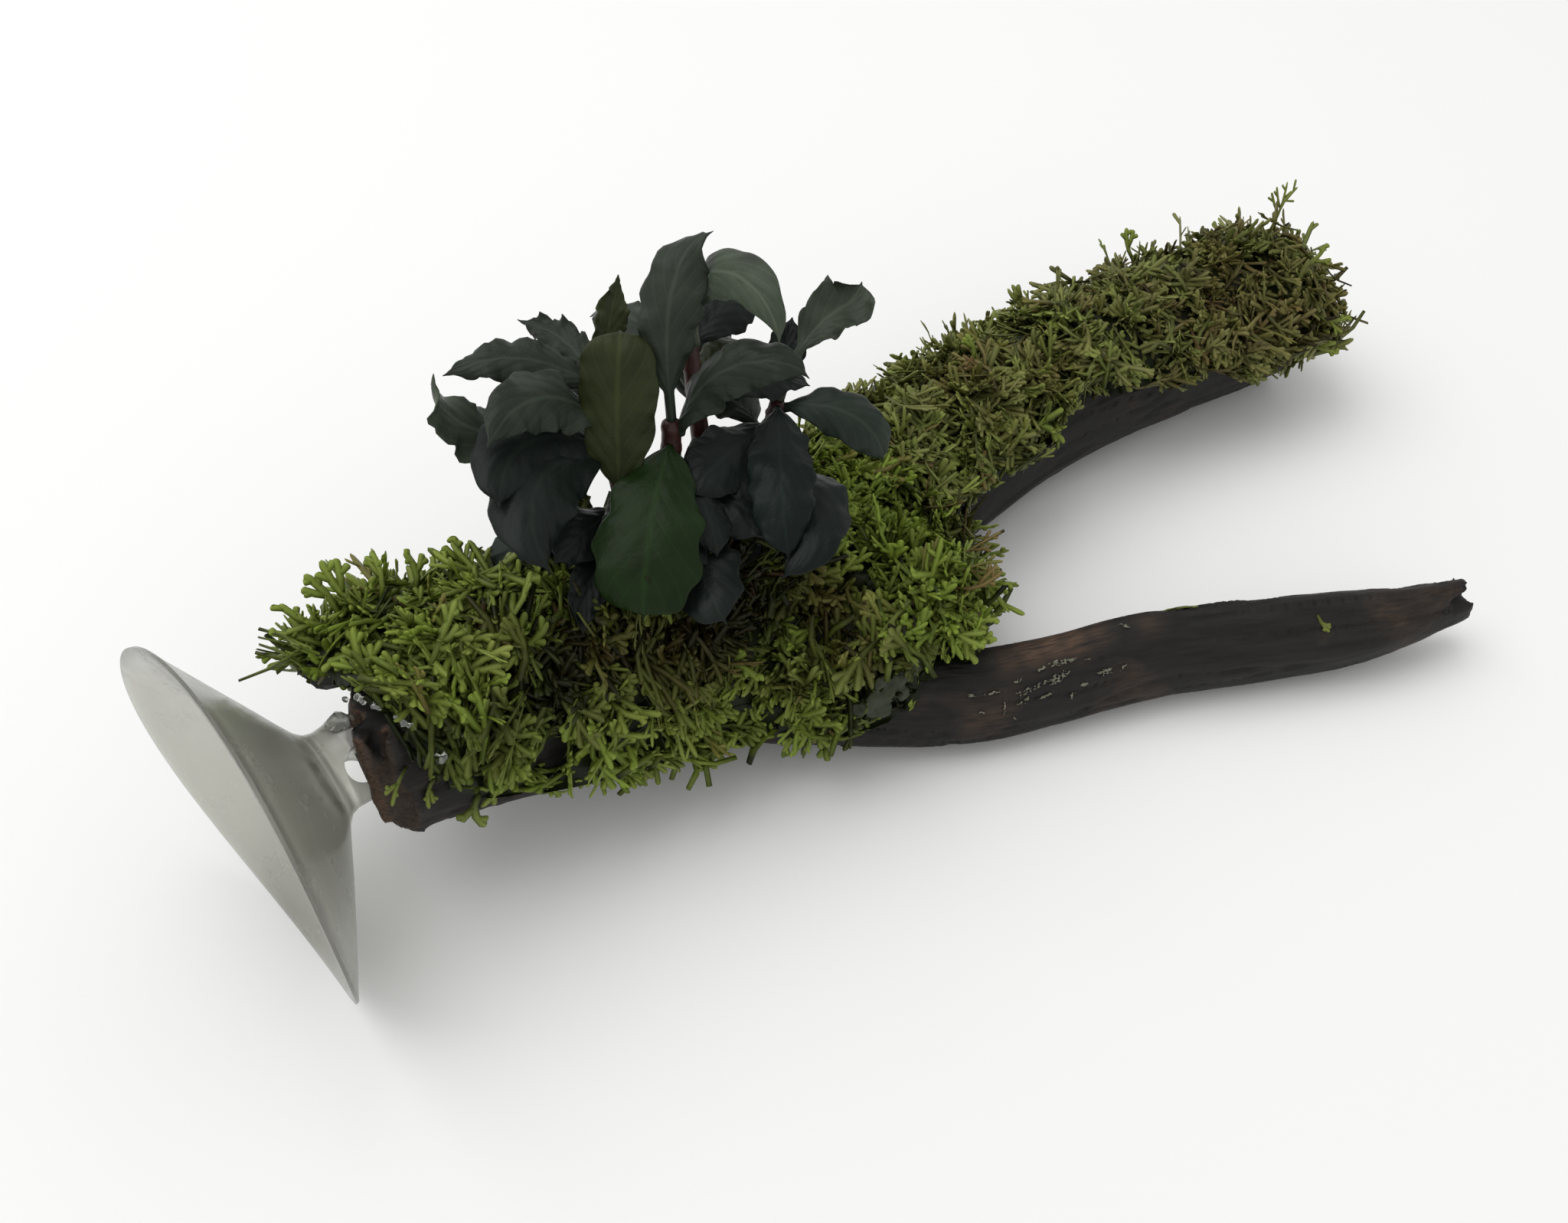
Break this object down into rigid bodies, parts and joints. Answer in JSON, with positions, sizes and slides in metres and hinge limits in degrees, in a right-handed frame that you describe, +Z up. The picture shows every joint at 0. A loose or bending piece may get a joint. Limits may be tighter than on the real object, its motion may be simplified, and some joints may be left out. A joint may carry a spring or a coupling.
{
  "type": "aquarium plant on driftwood",
  "caption": "Broad-leaved dark green water plant and bright ribbon moss on a forked piece of driftwood, with a clear suction cup on its sawn end.",
  "frame": {"origin": "middle of the footprint, on the surface that the branch rests on", "axes": "+X along the branch, from the suction cup to the arms' tips; +Z up"},
  "size_m": [0.1836, 0.0926, 0.065],
  "materials": {
    "driftwood": "matte",
    "clear_plastic": "gloss",
    "clear_glue": "gloss",
    "moss": "satin",
    "stem": "satin",
    "leaf": "satin"
  },
  "bodies": {
    "root": {"suction_cup": "clear_plastic", "glue_bead": "clear_glue", "wood_trunk": "driftwood", "wood_back_arm": "driftwood", "wood_front_arm": "driftwood", "moss_trunk_end": "moss", "moss_front_side": "moss", "moss_rear_side": "moss", "moss_fork": "moss", "moss_back_arm_near": "moss", "moss_back_arm_tip": "moss", "rhizome": "stem", "stem_left": "stem", "stem_front": "stem", "stem_rear": "stem", "stem_right": "stem", "leaf_01": "leaf", "leaf_02": "leaf", "leaf_03": "leaf", "leaf_04": "leaf", "leaf_05": "leaf", "leaf_06": "leaf", "leaf_07": "leaf", "leaf_08": "leaf", "leaf_09": "leaf", "leaf_10": "leaf", "leaf_11": "leaf", "leaf_12": "leaf", "leaf_13": "leaf", "leaf_14": "leaf", "leaf_15": "leaf", "leaf_16": "leaf", "leaf_17": "leaf", "leaf_18": "leaf", "leaf_19": "leaf", "leaf_20": "leaf", "leaf_21": "leaf", "leaf_22": "leaf", "leaf_23": "leaf", "leaf_24": "leaf", "leaf_25": "leaf", "leaf_26": "leaf", "leaf_27": "leaf", "leaf_28": "leaf", "leaf_29": "leaf"}
  },
  "joints": []
}
